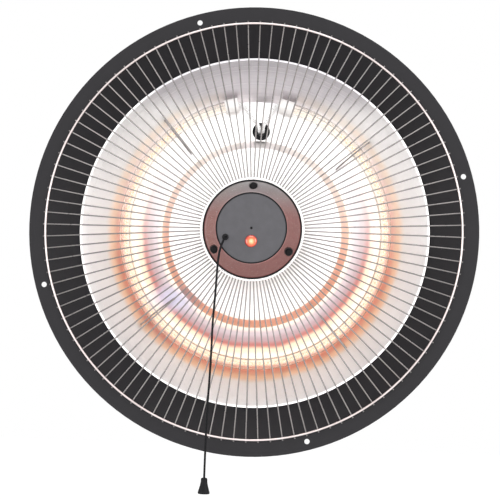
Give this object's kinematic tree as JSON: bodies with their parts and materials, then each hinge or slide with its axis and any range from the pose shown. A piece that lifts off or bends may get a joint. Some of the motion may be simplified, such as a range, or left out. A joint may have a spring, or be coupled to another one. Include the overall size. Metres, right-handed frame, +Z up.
{
  "type": "hanging carbon heater",
  "caption": "Round hanging carbon heater: black flanged shade, stepped bright reflector, ring lamp, radial wire guard and a centre switch cap with pull cord",
  "frame": {"origin": "centre of the front of the rim, on the heater's axis, in the middle of the four rim holes", "axes": "-Y is the way the warm face looks, +Y leads to the hanging eye, +Z is up the picture, so the cord hangs along -Z"},
  "size_m": [0.425, 0.2356, 0.4555],
  "materials": {
    "black_paint": "satin black stoved paint",
    "spun_aluminium": "bright spun reflector sheet",
    "bright_wire": "bright plated wire",
    "bright_steel": "zinc-plated steel",
    "dark_steel": "blackened steel",
    "quartz": "clear quartz",
    "carbon": "glowing carbon filament",
    "ceramic": "unglazed white ceramic",
    "sleeve": "white braided glass sleeve",
    "black_rubber": "black rubber",
    "cap_gloss": "glossy dark grey plastic",
    "cap_matt": "matt dark grey plastic",
    "lens_red": "lit orange-red lens",
    "nylon": "natural nylon",
    "black_plastic": "black plastic",
    "braid": "black braided cord",
    "brass": "plain brass",
    "mica": "pressed mica board"
  },
  "bodies": {
    "heater": {"shade": "black_paint", "reflector": "spun_aluminium", "stand_offs": "bright_steel", "stand_off_screws": "dark_steel", "lamp_tube": "quartz", "lamp_filament": "carbon", "lamp_end_caps": "ceramic", "lamp_leads": "sleeve", "lead_grommet": "black_rubber", "lamp_clips": "bright_wire", "guard": "bright_wire", "centre_column": "spun_aluminium", "centre_spacer": "bright_steel", "tie_rod": "bright_steel", "front_nut": "bright_steel", "rear_nuts": "bright_steel", "rear_washers": "bright_steel", "switch_harness": "sleeve", "cap_base_plate": "bright_steel", "cap_shell": "cap_gloss", "cap_face_plate": "cap_matt", "cap_screws": "dark_steel", "cap_nuts": "bright_steel", "face_post": "brass", "face_screw": "dark_steel", "indicator_lens": "lens_red", "indicator_body": "black_plastic", "cord_bush": "black_plastic", "switch_body": "nylon", "switch_pin": "bright_steel", "lever_spring": "bright_steel", "rear_housing": "black_paint", "housing_screws": "dark_steel", "rear_cover": "black_paint", "insulating_disc": "mica", "terminal_block": "ceramic", "terminal_screws": "brass", "earth_screw": "bright_steel", "gland_body": "black_plastic", "gland_dome_nut": "black_plastic", "gland_lock_nut": "black_plastic", "hanging_bracket": "bright_steel", "bracket_bolts": "bright_steel", "bracket_nuts": "bright_steel"},
    "pull": {"cord_bead": "black_plastic", "cord_stub": "braid", "pull_cord": "braid", "cord_knob": "black_rubber"},
    "lever": {"switch_lever": "nylon"}
  },
  "joints": [
    {"name": "pull_slide", "type": "slide", "parent": "heater", "child": "pull", "axis": [0, -1, 0], "range_m": [0, 0.008], "stiffness_N_per_m": 100},
    {"name": "lever_pivot", "type": "hinge", "parent": "heater", "child": "lever", "pos_m": [-0.0236, -0.034, 0.0019], "axis": [-1, 0, 0], "range_deg": [0, 39.98]}
  ],
  "couplings": [
    {"joint": "lever_pivot", "follows": "pull_slide", "rad_per_m": 87.193}
  ]
}
